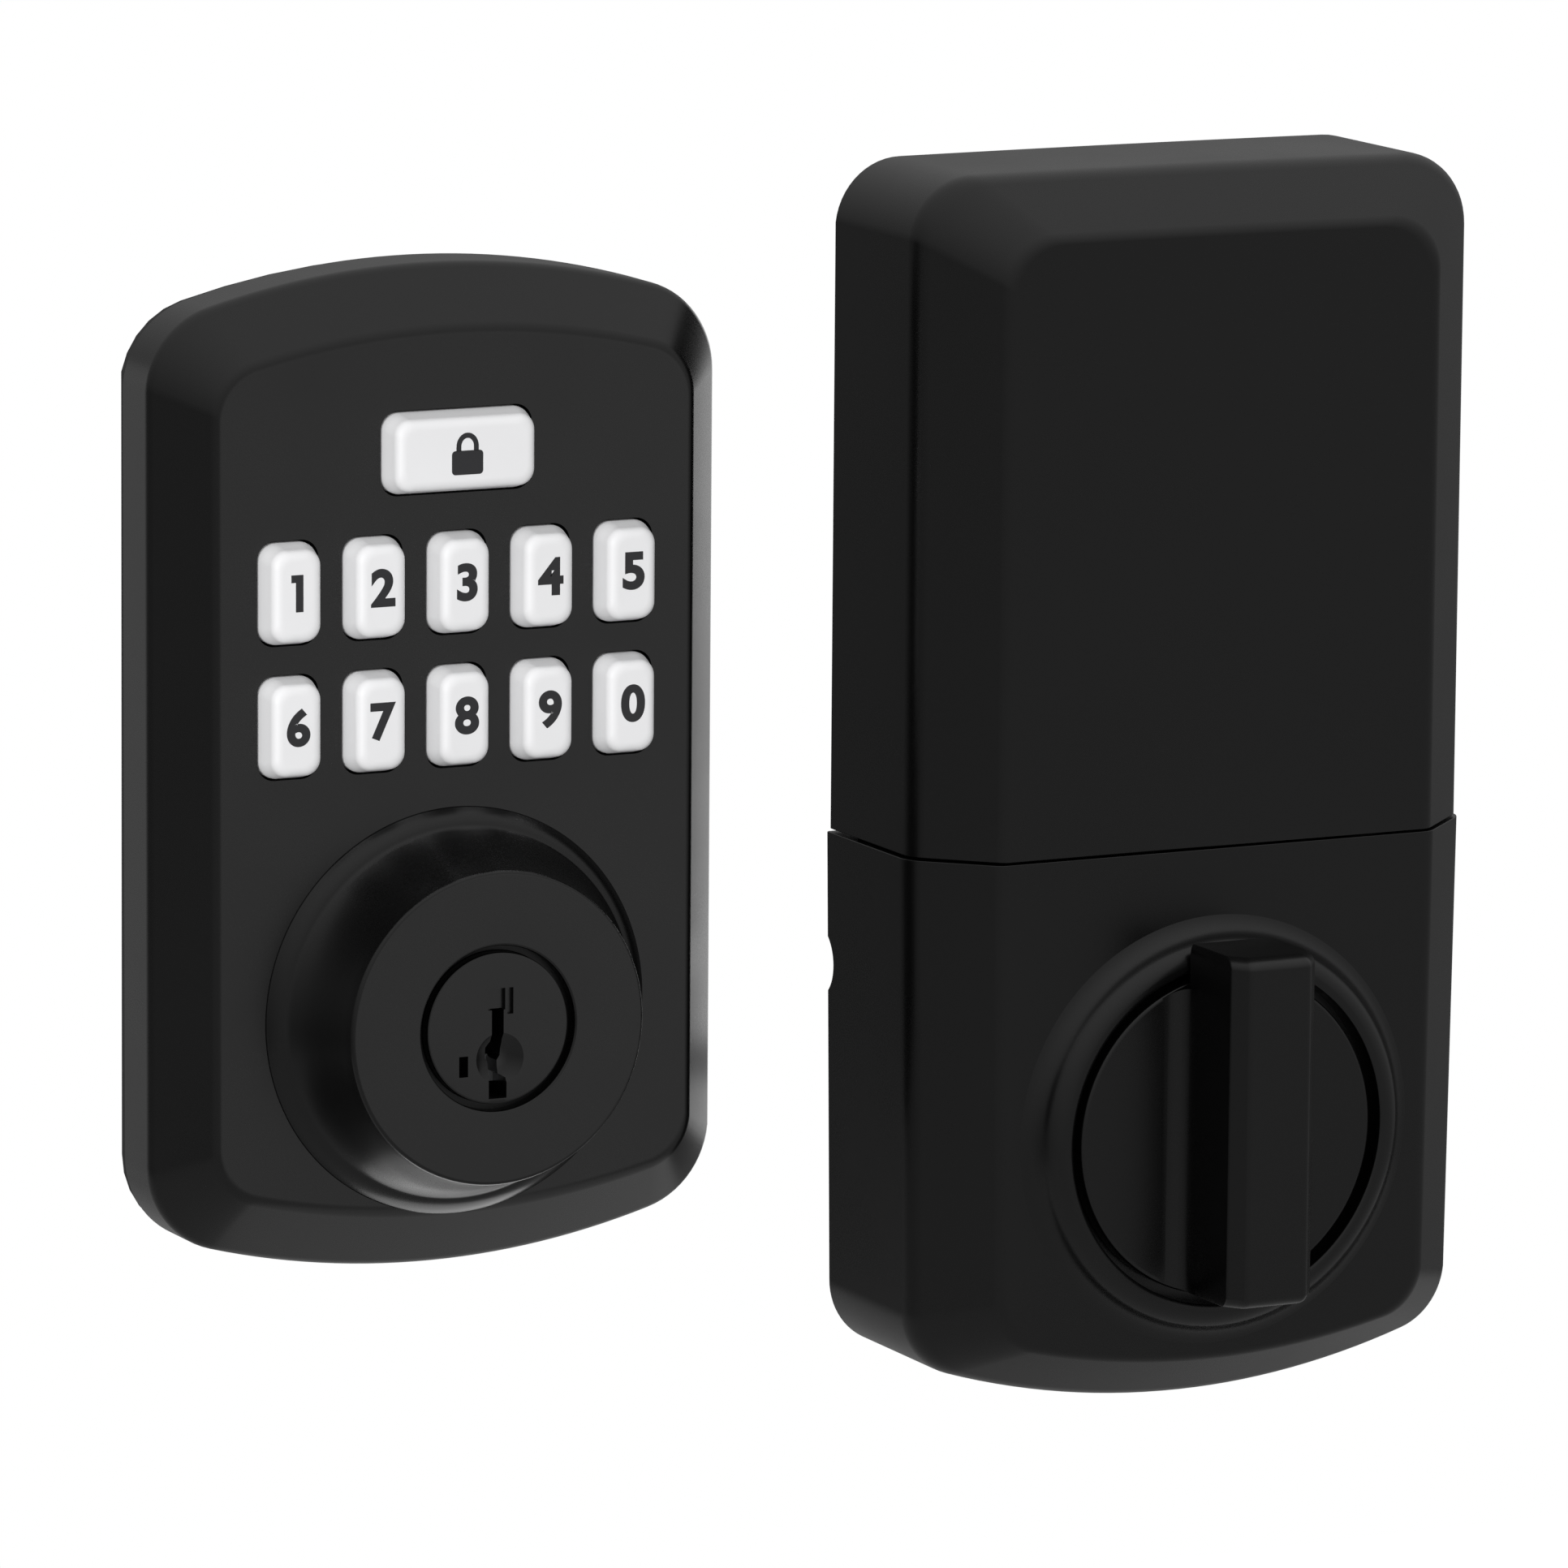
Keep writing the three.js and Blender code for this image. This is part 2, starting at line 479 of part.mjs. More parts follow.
const reach = (a, b) => (GEAR.module * (a + b)) / 2 + GEAR.slack;
const idlerAt = [
  INT_X + reach(GEAR.main, GEAR.idler) * Math.cos(IDLER_ANGLE),
  TURN_Z + reach(GEAR.main, GEAR.idler) * Math.sin(IDLER_ANGLE),
];
const pinionAt = [
  idlerAt[0] + reach(GEAR.idler, GEAR.pinion) * Math.cos(PINION_ANGLE),
  idlerAt[1] + reach(GEAR.idler, GEAR.pinion) * Math.sin(PINION_ANGLE),
];
const gearBack = GEAR.front - GEAR.width;
const rootedIn = -chassisFront + 0.5;
const boardPost = (z) => rod(2, rootedIn, -CONTROL.back + GAP, INT_X + CONTROL.x - 5.7, z, 24);
chassis = union([
  chassis,
  rod(IDLER_PIN.radius * 2, rootedIn, -gearBack + GAP, ...idlerAt, 32),
  rod(IDLER_PIN.radius, rootedIn, -GEAR.front - 1.5, ...idlerAt, 32),
  boardPost(CONTROL.z - 28.5),
  boardPost(CONTROL.z + 29.5),
]);
addPart("interior_chassis", chassis, PLASTIC);

const trayBack = chassisFront + GAP;
const trayFloor = trayBack + 1.2;
const cellDepth = trayFloor + GAP + CELL.radius;
const cellLow = CELL.low;
const cellHigh = cellLow + CELL.length;
const cellPitch = 2 * CELL.radius + CELL.space;
const trayHalf = 1.5 * cellPitch + CELL.radius + GAP;
const tray = (margin, back, front) => box(INT_X - trayHalf - margin, INT_X + trayHalf + margin,
  -back, -front, cellLow - 1.4 - margin, cellHigh + 1.4 + margin);
addPart("battery_holder",
  tray(1.2, trayBack, cellDepth + 2).subtract(tray(0, trayFloor, cellDepth + 3)), PLASTIC);
[["lower", cellLow - 0.8], ["upper", cellHigh + 0.8]].forEach(([end, z]) => {
  addPart(`contact_strip_${end}`,
    box(INT_X - trayHalf + GAP, INT_X + trayHalf - GAP, -trayFloor - GAP, -cellDepth - 1, z - 0.25, z + 0.25),
    STEEL);
});
for (let k = 0; k < 4; k++) {
  const profile = [
    [0, 0], [5, 0], [5, 0.3], [CELL.radius, 0.3], [CELL.radius, CELL.length - 1.6],
    [2.7, CELL.length - 1.4], [2.7, CELL.length], [0, CELL.length],
  ];
  const points = profile.map(([r, h]) => new THREE.Vector2(r, h));
  const cell = toSolid(new THREE.LatheGeometry([...points, points[0]], 24));
  const standing = k % 2 === 0
    ? cell.rotate([90, 0, 0]).translate([0, 0, cellLow])
    : cell.rotate([-90, 0, 0]).translate([0, 0, cellHigh]);
  addPart(`battery_${k + 1}`, standing.translate([INT_X + (k - 1.5) * cellPitch, -cellDepth, 0]), CELL_SKIN);
}

const controlFront = CONTROL.back + CIRCUIT;
const programAt = [INT_X + PROGRAM_KEY.x, PROGRAM_KEY.z];
addPart("control_board",
  prism(roundedRect(INT_X + CONTROL.x, CONTROL.z, CONTROL.width, CONTROL.height, 1.5),
    -CONTROL.back, -controlFront), BOARD);
addPart("program_switch",
  prism(roundedRect(...programAt, 8, 7, 1), -controlFront - GAP, -PROGRAM_KEY.body)
    .subtract(rod(PROGRAM_KEY.radius + GAP, 0, -20, ...programAt, 24)), PLASTIC);
addPart("program_button",
  rod(PROGRAM_KEY.radius, -controlFront - 1, -PROGRAM_KEY.front, ...programAt, 24), RUBBER);

// ---- Turn and gear train -----------------------------------------------------------------------
const bar = TURN.barWidth / 2;
const barFront = TURN.front + TURN.proud;
const clearOfRim = BOSS.rimDepth + 0.5;
function barSection(back) {
  return [
    [-bar, back], [-bar, barFront - 2.9], [-bar + 0.25, barFront - 2.1], [-bar + 1.1, barFront - 0.5],
    [-bar + 1.7, barFront], [bar - 1.7, barFront], [bar - 1.1, barFront - 0.5],
    [bar - 0.25, barFront - 2.1], [bar, barFront - 2.9], [bar, back],
  ];
}
// A section of [x, depth] points run along Z between two heights, ends eased in.
function barRun(section, low, high, ease) {
  const mid = (clearOfRim + barFront) / 2;
  const shrunk = section.map(([x, depth]) => [
    x * (1 - ease / bar), depth > mid ? depth - ease : depth,
  ]);
  const stations = ease > 0
    ? [[high, shrunk], [high - ease, section], [low + ease, section], [low, shrunk]]
    : [[high, section], [low, section]];
  return loft(stations.map(([z, points]) => ({ y: z, points: [...points].reverse() }))).rotate([90, 0, 0]);
}
let turn = rod(TURN.radius, -TURN.front + TURN.thick, -TURN.front, INT_X, TURN_Z, 64);
const place = (solid) => solid.translate([INT_X, 0, TURN_Z]);
const footSection = [
  [-bar - 3, TURN.front - 0.5], [-bar - 3, TURN.front + 0.05], [-bar - 1.5, TURN.front + 0.5],
  [-bar - 0.5, TURN.front + 1.4], [-bar, TURN.front + 3], [bar, TURN.front + 3],
  [bar + 0.5, TURN.front + 1.4], [bar + 1.5, TURN.front + 0.5], [bar + 3, TURN.front + 0.05],
  [bar + 3, TURN.front - 0.5],
];
const grip = place(barRun(barSection(clearOfRim), BAR.bottom, BAR.top, 0.9));
const foot = place(barRun(footSection, -TURN.radius, TURN.radius, 0))
  .intersect(rod(TURN.radius - 0.2, 0, -barFront, INT_X, TURN_Z, 64));
const spindleFront = GEAR.front + 1.5;
const hubBack = spindleFront + GAP;
const socketFront = TURN.front - 3.3;
const peg = SPINDLE.square / 2;
const socket = peg + GAP;
turn = union([turn, grip, foot, rod(TURN.hub, -hubBack, -TURN.front + 1, INT_X, TURN_Z)])
  .subtract(box(INT_X - socket, INT_X + socket, 0, -socketFront, TURN_Z - socket, TURN_Z + socket));
addPart("thumb_turn", turn, PAINT);

addPart("turn_spindle", union([
  turned([
    [0, -spindleFront], [SPINDLE.thrust, -spindleFront], [SPINDLE.thrust, -GEAR.front - GAP],
    [SPINDLE.radius, -GEAR.front - GAP], [SPINDLE.radius, -9], [SPINDLE.journal, -9],
    [SPINDLE.journal, -MOUNT_PLATE - GAP], [0, -MOUNT_PLATE - GAP],
  ], INT_X, TURN_Z),
  box(INT_X - peg, INT_X + peg, -spindleFront + 0.5, -socketFront + GAP, TURN_Z - peg, TURN_Z + peg),
]).subtract(box(INT_X - BLADE.wide / 2 - GAP, INT_X + BLADE.wide / 2 + GAP, 0, -16,
  TURN_Z - BLADE.tall / 2 - GAP, TURN_Z + BLADE.tall / 2 + GAP)), STEEL);

// Involute spur gear outline with play at the flanks.
function gearOutline(teeth, phase, [x, z]) {
  const pitchRadius = (GEAR.module * teeth) / 2;
  const baseRadius = pitchRadius * Math.cos(THREE.MathUtils.degToRad(20));
  const tip = pitchRadius + 0.95 * GEAR.module;
  const root = pitchRadius - 1.25 * GEAR.module;
  const flank = (radius) => {
    const roll = Math.sqrt(Math.max((radius / baseRadius) ** 2 - 1, 0));
    return roll - Math.atan(roll);
  };
  const halfTooth = (0.44 * Math.PI) / teeth + flank(pitchRadius);
  const start = Math.max(root + 0.05, baseRadius);
  const radii = [start, (start + pitchRadius) / 2, (pitchRadius + tip) / 2, tip];
  const points = [];
  for (let k = 0; k < teeth; k++) {
    const middle = phase + (2 * Math.PI * k) / teeth;
    const side = radii.map((radius) => [radius, halfTooth - flank(radius)]);
    const rootSide = [root, halfTooth - flank(start) + 0.02];
    const rising = [rootSide, ...side].map(([radius, angle]) => [radius, middle - angle]);
    const falling = [rootSide, ...side].reverse().map(([radius, angle]) => [radius, middle + angle]);
    for (const [radius, angle] of [...rising, ...falling]) {
      points.push([x + radius * Math.cos(angle), z + radius * Math.sin(angle)]);
    }
  }
  return points;
}
// Phase that puts the next gear's gap over this gear's tooth.
function meshPhase(phase, teeth, angle, nextTeeth) {
  const share = ((angle - phase) * teeth) / (2 * Math.PI);
  return angle + Math.PI - ((0.5 - share) * 2 * Math.PI) / nextTeeth;
}
const idlerPhase = meshPhase(0, GEAR.main, IDLER_ANGLE, GEAR.idler);
const pinionPhase = meshPhase(idlerPhase, GEAR.idler, PINION_ANGLE, GEAR.pinion);
const turnAt = [INT_X, TURN_Z];
const spurs = [
  ["main_gear", GEAR.main, 0, turnAt, SPINDLE.radius + RUNNING],
  ["idler_gear", GEAR.idler, idlerPhase, idlerAt, IDLER_PIN.radius + RUNNING],
  ["motor_pinion", GEAR.pinion, pinionPhase, pinionAt, MOTOR_SHAFT.radius + GAP],
];
for (const [name, teeth, phase, at, bore] of spurs) {
  addPart(name, prism(gearOutline(teeth, phase, at), -gearBack, -GEAR.front)
    .subtract(rod(bore, 0, -40, ...at, 32)), GEAR_NYLON);
}
addPart("gear_motor", prism(roundedRect(...pinionAt, 12, 10, 2), -trayBack, -gearBack + 0.5)
  .add(rod(MOTOR_SHAFT.radius, -10, -GEAR.front - 0.8, ...pinionAt, 16)), STEEL);
addPart("position_switch",
  prism(roundedRect(INT_X - 6, -31.5, 12, 6, 0.8), -trayBack, -14)
    .subtract(box(INT_X - 10, INT_X - 8.8, -12, -20, -33, -30)), PLASTIC);

export default group;
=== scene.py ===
"""Keypad smart lock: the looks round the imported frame. Sizes in the helpers are millimetres."""

import json
import math

import bmesh
import bpy
from mathutils import Matrix, Vector


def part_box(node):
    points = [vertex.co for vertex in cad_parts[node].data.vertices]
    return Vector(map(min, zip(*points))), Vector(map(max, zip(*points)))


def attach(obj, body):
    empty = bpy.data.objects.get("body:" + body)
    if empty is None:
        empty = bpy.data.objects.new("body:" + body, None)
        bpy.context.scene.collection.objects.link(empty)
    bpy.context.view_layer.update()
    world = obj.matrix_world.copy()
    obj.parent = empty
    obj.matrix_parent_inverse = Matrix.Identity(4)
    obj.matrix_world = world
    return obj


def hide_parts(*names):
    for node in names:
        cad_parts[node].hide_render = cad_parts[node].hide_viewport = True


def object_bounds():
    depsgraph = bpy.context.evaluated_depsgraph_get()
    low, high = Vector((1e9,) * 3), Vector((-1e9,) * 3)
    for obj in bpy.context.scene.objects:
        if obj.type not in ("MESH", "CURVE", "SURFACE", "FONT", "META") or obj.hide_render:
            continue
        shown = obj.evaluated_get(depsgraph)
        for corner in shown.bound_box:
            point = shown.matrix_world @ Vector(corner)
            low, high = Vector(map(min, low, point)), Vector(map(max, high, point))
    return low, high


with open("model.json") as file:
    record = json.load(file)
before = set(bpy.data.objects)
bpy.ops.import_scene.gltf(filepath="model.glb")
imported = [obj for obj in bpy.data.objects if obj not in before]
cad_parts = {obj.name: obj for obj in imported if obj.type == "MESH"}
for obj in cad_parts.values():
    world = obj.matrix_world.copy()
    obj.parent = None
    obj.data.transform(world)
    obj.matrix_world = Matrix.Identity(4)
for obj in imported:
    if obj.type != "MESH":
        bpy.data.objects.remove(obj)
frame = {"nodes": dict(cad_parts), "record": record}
cad_low, cad_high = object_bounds()
MM = 0.001


# ---- Where the frame's parts are, in millimetres ------------------------------------------------
def span(node):
    low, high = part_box(node)
    return Vector(low) / MM, Vector(high) / MM


def middle(node):
    low, high = span(node)
    return (low + high) / 2


ext_low, ext_high = span("exterior_housing")
int_low, int_high = span("battery_cover")
foot_low, foot_high = span("interior_housing")
plug_mid = middle("cylinder_plug")
plug_low, plug_high = span("cylinder_plug")
joints = {joint["name"]: joint for joint in frame["record"]["behaviour"]["joints"]}
turn_joint = joints["thumb_turn_rotate"]
TURN_X, _, TURN_Z = (v / MM for v in turn_joint["pos_m"])
CYL_X, CYL_Z = plug_mid.x, plug_mid.z


# ---- Mesh helpers -------------------------------------------------------------------------------
def make_object(name, bm, angle=32):
    """A mesh object with smooth faces that stay sharp over the given angle."""
    bmesh.ops.remove_doubles(bm, verts=bm.verts, dist=1e-7)
    bmesh.ops.recalc_face_normals(bm, faces=bm.faces)
    mesh = bpy.data.meshes.new(name)
    bm.to_mesh(mesh)
    bm.free()
    obj = bpy.data.objects.new(name, mesh)
    bpy.context.scene.collection.objects.link(obj)
    shade(obj, angle)
    return obj


def shade(obj, angle=32):
    bm = bmesh.new()
    bm.from_mesh(obj.data)
    limit = math.radians(angle)
    for face in bm.faces:
        face.smooth = True
    for edge in bm.edges:
        edge.smooth = len(edge.link_faces) == 2 and edge.calc_face_angle(0) < limit
    bm.to_mesh(obj.data)
    bm.free()
    return obj


def weighted(obj):
    mod = obj.modifiers.new("normals", "WEIGHTED_NORMAL")
    mod.keep_sharp = True
    mod.weight = 100
    return obj


def eased(obj, width, segments=2, angle=40):
    mod = obj.modifiers.new("edges", "BEVEL")
    mod.width = width * MM
    mod.segments = segments
    mod.limit_method = "ANGLE"
    mod.angle_limit = math.radians(angle)
    mod.use_clamp_overlap = True
    return obj


def applied(obj):
    """Bakes the object's modifiers into its mesh."""
    graph = bpy.context.evaluated_depsgraph_get()
    mesh = bpy.data.meshes.new_from_object(obj.evaluated_get(graph))
    obj.modifiers.clear()
    obj.data = mesh
    return obj


def combine(obj, others, operation):
    for other in others:
        mod = obj.modifiers.new("cut", "BOOLEAN")
        mod.operation = operation
        mod.solver = "EXACT"
        mod.object = other
        applied(obj)
        bpy.data.objects.remove(other)
    return obj


def loft(name, sections, angle=32):
    """A closed skin through loops of points, its ends capped."""
    bm = bmesh.new()
    loops = [[bm.verts.new(Vector(p) * MM) for p in section] for section in sections]
    count = len(loops[0])
    for a, b in zip(loops, loops[1:]):
        for k in range(count):
            n = (k + 1) % count
            bm.faces.new((a[k], a[n], b[n], b[k]))
    bm.faces.new(loops[0][::-1])
    bm.faces.new(loops[-1])
    return make_object(name, bm, angle)


def turned(name, profile, x, z, steps=128, angle=32):
    """A turned piece about the Y axis from a closed profile of (radius, y)."""
    bm = bmesh.new()
    rings = []
    for radius, y in profile:
        if radius < 1e-6:
            rings.append([bm.verts.new(Vector((x, y, z)) * MM)])
            continue
        rings.append([
            bm.verts.new(Vector((x + radius * math.cos(t), y, z + radius * math.sin(t))) * MM)
            for t in (2 * math.pi * k / steps for k in range(steps))
        ])
    for a, b in zip(rings, rings[1:] + rings[:1]):
        for k in range(steps):
            n = (k + 1) % steps
            corners = [a[k % len(a)], a[n % len(a)], b[n % len(b)], b[k % len(b)]]
            corners = list(dict.fromkeys(corners))
            if len(corners) > 2:
                bm.faces.new(corners)
    return make_object(name, bm, angle)


def circle(x, z, radius, steps=60):
    return [(x + radius * math.cos(t), z + radius * math.sin(t))
            for t in (2 * math.pi * k / steps for k in range(steps))]


def slab(name, x0, x1, y0, y1, z0, z1):
    loop = [(x0, z0), (x1, z0), (x1, z1), (x0, z1)]
    return loft(name, [[(x, y, z) for x, z in loop] for y in (y0, y1)])


def prism(name, points, y0, y1):
    return loft(name, [[(x, y, z) for x, z in points] for y in (y0, y1)])


def rounded_rect(x, z, width, height, radius, steps=8):
    points = []
    for sx, sz, start in ((1, 1, 0), (-1, 1, 90), (-1, -1, 180), (1, -1, 270)):
        for k in range(steps + 1):
            t = math.radians(start + 90 * k / steps)
            points.append((x + sx * (width / 2 - radius) + radius * math.cos(t),
                           z + sz * (height / 2 - radius) + radius * math.sin(t)))
    return points


def bend(a, corner, b, steps=6):
    """Points of a soft corner from a to b."""
    a, corner, b = Vector(a), Vector(corner), Vector(b)
    return [tuple(a * (1 - t) ** 2 + corner * 2 * t * (1 - t) + b * t * t)
            for t in (k / steps for k in range(steps + 1))]


# ---- The two bevelled units ---------------------------------------------------------------------
# wall and face are the depths where the bevel starts and ends. side, crown and foot are its widths, and
# soft_wall and soft_face say how far its two edges are softened.
EXT = dict(
    x=(ext_low.x + ext_high.x) / 2, half=(ext_high.x - ext_low.x) / 2, top=ext_high.z, bottom=ext_low.z,
    top_arc=110, bottom_arc=110, corner=11.5, face_corner=7,
    thick=2.0, wall=9.4, face=16.2, side=6.2, crown=7.4, foot=7.9, soft_wall=0.9, soft_face=0.8,
)
INT = dict(
    x=(int_low.x + int_high.x) / 2, half=(int_high.x - int_low.x) / 2, top=int_high.z, bottom=foot_low.z,
    top_arc=5000, bottom_arc=108, corner=9, face_corner=7,
    thick=2.2, wall=22.9, face=31.5, side=8.9, crown=7.3, foot=6.4, soft_wall=2.0, soft_face=1.0,
)
RIM_EASE = 0.25
INNER_WALL_SHARE = 0.4


def outline(unit, inset, share):
    """Straight sides, arched ends and filleted corners, moved in by the inset and the share of the bevel."""
    corner = max(unit["corner"] + (unit["face_corner"] - unit["corner"]) * share - inset, 2)
    half = unit["half"] - inset - share * unit["side"]
    top = unit["top"] - inset - share * unit["crown"]
    bottom = unit["bottom"] + inset + share * unit["foot"]
    points = []

    def arc(cx, cz, radius, start, end, steps):
        for k in range(steps):
            t = start + (end - start) * k / steps
            points.append((unit["x"] + cx + radius * math.cos(t), cz + radius * math.sin(t)))

    quarter = math.pi / 2
    side = half - corner
    arches = (unit["top_arc"], unit["bottom_arc"])
    lean = [math.asin(side / (radius - corner)) for radius in arches]
    lift = [math.sqrt((radius - corner) ** 2 - side ** 2) for radius in arches]
    tz, bz = top - unit["top_arc"], bottom + unit["bottom_arc"]
    arc(side, tz + lift[0], corner, 0, quarter - lean[0], 14)
    arc(0, tz, unit["top_arc"], quarter - lean[0], quarter + lean[0], 28)
    arc(-side, tz + lift[0], corner, quarter + lean[0], 2 * quarter, 14)
    arc(-side, bz - lift[1], corner, 2 * quarter, 3 * quarter - lean[1], 14)
    arc(0, bz, unit["bottom_arc"], 3 * quarter - lean[1], 3 * quarter + lean[1], 28)
    arc(side, bz - lift[1], corner, 3 * quarter + lean[1], 4 * quarter, 14)
    return points


def skin(unit, inset, back):
    """Sections of one skin from its back edge to its face."""
    soft_wall, soft_face = unit["soft_wall"], unit["soft_face"]
    length = math.hypot(unit["face"] - unit["wall"], unit["side"])
    wall = unit["wall"] - inset * INNER_WALL_SHARE
    face = unit["face"] - inset
    full = 1 - inset * INNER_WALL_SHARE / unit["side"]
    a, b = soft_wall / length, soft_face / length
    slope = (face - wall) / full
    path = [(0, back)]
    path += bend((0, wall - soft_wall), (0, wall), (a, wall + slope * a))
    path += bend((full - b, face - slope * b), (full, face), (full + soft_face / unit["side"], face))
    return [[(x, -depth, z) for x, z in outline(unit, inset, share)] for share, depth in path]


def unit_shell(name, unit, back):
    """An open-backed shell of one unit, with its rear rim eased."""
    inner = skin(unit, unit["thick"], back)
    outer = skin(unit, 0, back)
    outer[0] = [(x, -back - RIM_EASE, z) for x, _, z in outer[0]]
    rim = [[(x, -back, z) for x, z in outline(unit, RIM_EASE, 0)]]
    return loft(name, inner[::-1] + rim + outer)


# ---- Materials ----------------------------------------------------------------------------------
class Graph:
    """A small builder for node materials in object space."""

    def __init__(self, name):
        self.material = bpy.data.materials.new(name)
        self.material.use_nodes = True
        self.nodes = self.material.node_tree.nodes
        self.links = self.material.node_tree.links
        self.bsdf = self.nodes["Principled BSDF"]
        self.coords = self.nodes.new("ShaderNodeTexCoord").outputs["Object"]

    def add(self, kind, inputs=None, **settings):
        node = self.nodes.new("ShaderNode" + kind)
        for key, value in settings.items():
            setattr(node, key, value)
        for key, value in (inputs or {}).items():
            self.feed(node.inputs[key], value)
        return node

    def feed(self, socket, value):
        if isinstance(value, bpy.types.NodeSocket):
            self.links.new(value, socket)
        else:
            socket.default_value = value

    def noise(self, scale, detail=3, roughness=0.55, stretch=None):
        vector = self.coords
        if stretch:
            vector = self.add("Mapping", {"Vector": vector, "Scale": stretch}).outputs[0]
        return self.add("TexNoise", {"Vector": vector, "Scale": scale, "Detail": detail,
                                     "Roughness": roughness}).outputs["Fac"]

    def between(self, value, low, high, start=0.3, end=0.7):
        return self.add("MapRange", {"Value": value, "From Min": start, "From Max": end,
                                     "To Min": low, "To Max": high}).outputs[0]

    def blend(self, value, first, second):
        node = self.add("Mix", data_type="RGBA")
        self.feed(node.inputs[0], value)
        self.feed(node.inputs[6], first)
        self.feed(node.inputs[7], second)
        return node.outputs[2]

    def bump(self, height, strength, distance, normal=None):
        inputs = {"Height": height, "Strength": strength, "Distance": distance * MM}
        if normal is not None:
            inputs["Normal"] = normal
        return self.add("Bump", inputs).outputs[0]

    def finish(self, **inputs):
        names = {"base": "Base Color", "rough": "Roughness", "metal": "Metallic", "normal": "Normal",
                 "specular": "Specular IOR Level"}
        for key, value in inputs.items():
            self.feed(self.bsdf.inputs[names[key]], value)
        return self.material


def grey(value, tint=(1, 1, 1)):
    return tuple(value * t for t in tint) + (1,)


def paint(name, value, rough, specular, tint=(1, 1, 1.03)):
    """Satin stoved paint: a faint orange peel, a very fine grain and slow changes of gloss."""
    g = Graph(name)
    peel = g.noise(420, 2)
    grain = g.noise(5200, 2)
    cloud = g.noise(38, 3)
    colour = g.blend(g.between(grain, 0, 1), grey(value * 0.88, tint), grey(value * 1.12, tint))
    colour = g.blend(g.between(cloud, 0, 0.25), colour, grey(value * 1.25, tint))
    gloss = g.add("Math", {0: g.between(cloud, rough - 0.025, rough + 0.025),
                           1: g.between(grain, -0.02, 0.02)}, operation="ADD").outputs[0]
    normal = g.bump(grain, 0.06, 0.02, g.bump(peel, 0.05, 0.05))
    return g.finish(base=colour, rough=gloss, normal=normal, specular=specular)


def moulded(name, base, rough, grain_scale=2600, depth=0.03, variation=0.06, specular=0.5):
    """Moulded plastic or rubber: a fine spark-eroded texture and a slight change of shade."""
    g = Graph(name)
    grain = g.noise(grain_scale, 3)
    cloud = g.noise(60, 3)
    dark = tuple(c * (1 - variation) for c in base) + (1,)
    light = tuple(min(c * (1 + variation), 1) for c in base) + (1,)
    colour = g.blend(g.between(cloud, 0, 1), dark, light)
    gloss = g.between(grain, rough - 0.05, rough + 0.05)
    return g.finish(base=colour, rough=gloss, normal=g.bump(grain, 0.18, depth), specular=specular)


def metal(name, base, rough, stretch, variation=0.12):
    """Drawn or turned metal: fine lines along the work and soft stains."""
    g = Graph(name)
    lines = g.noise(900, 4, 0.6, stretch)
    cloud = g.noise(85, 4)
    dark = tuple(c * (1 - variation) for c in base) + (1,)
    colour = g.blend(g.between(cloud, 0, 1), dark, tuple(base) + (1,))
    gloss = g.add("Math", {0: g.between(lines, rough - 0.07, rough + 0.07),
                           1: g.between(cloud, -0.04, 0.04)}, operation="ADD").outputs[0]
    return g.finish(base=colour, rough=gloss, metal=1.0, normal=g.bump(lines, 0.12, 0.02))


def board_material(name):
    """Solder mask over copper: tracks as raised lighter lines, with pads."""
    g = Graph(name)
    cells = g.add("TexVoronoi", {"Vector": g.coords, "Scale": 260.0, "Randomness": 0.15},
                  feature="F1", distance="CHEBYCHEV").outputs["Distance"]
    wave = g.add("TexWave", {"Vector": g.coords, "Scale": 180.0, "Distortion": 6.0, "Detail": 1.0},
                 bands_direction="DIAGONAL").outputs["Fac"]
    tracks = g.between(wave, 0, 1, 0.72, 0.78)
    pads = g.between(cells, 1, 0, 0.12, 0.16)
    colour = g.blend(tracks, grey(1, (0.008, 0.06, 0.025)), grey(1, (0.015, 0.11, 0.045)))
    colour = g.blend(pads, colour, grey(1, (0.55, 0.5, 0.4)))
    return g.finish(base=colour, rough=g.between(g.noise(700), 0.28, 0.42),
                    normal=g.bump(tracks, 0.4, 0.04))


PAINT = paint("satin_black_paint", 0.0013, 0.29, 0.5)
KEYCAP = moulded("pale_keycap", (0.87, 0.87, 0.88), 0.42, 3200, 0.015, 0.015, 0.35)
LEGEND = moulded("legend_ink", (0.02, 0.02, 0.022), 0.45, 5000, 0.005)
PLASTIC = moulded("black_moulding", (0.022, 0.022, 0.024), 0.55)
RUBBER = moulded("black_rubber", (0.018, 0.018, 0.018), 0.8, 1500, 0.05)
NYLON = moulded("natural_nylon", (0.72, 0.69, 0.6), 0.45)
STEEL = metal("zinc_plated_steel", (0.56, 0.57, 0.58), 0.34, (1, 1, 14))
BOARD = board_material("circuit_board")
CELL = moulded("cell_sleeve", (0.05, 0.055, 0.075), 0.3, 900, 0.01)
SLOT_MATERIAL = {
    "black_paint": PAINT, "keycap": KEYCAP, "black_plastic": PLASTIC, "steel": STEEL,
    "rubber": RUBBER, "circuit_board": BOARD, "cell_skin": CELL, "nylon": NYLON,
}
slot_of = {s["node"]: s["material_slot"] for s in frame["record"]["subparts"]}
for node, obj in frame["nodes"].items():
    obj.data.materials.clear()
    obj.data.materials.append(SLOT_MATERIAL[slot_of[node]])


def piece(obj, body, slot, *replaced, material=None):
    obj.data.materials.clear()
    obj.data.materials.append(material or SLOT_MATERIAL[slot])
    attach(obj, body)
    if replaced:
        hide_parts(*replaced)
    return obj


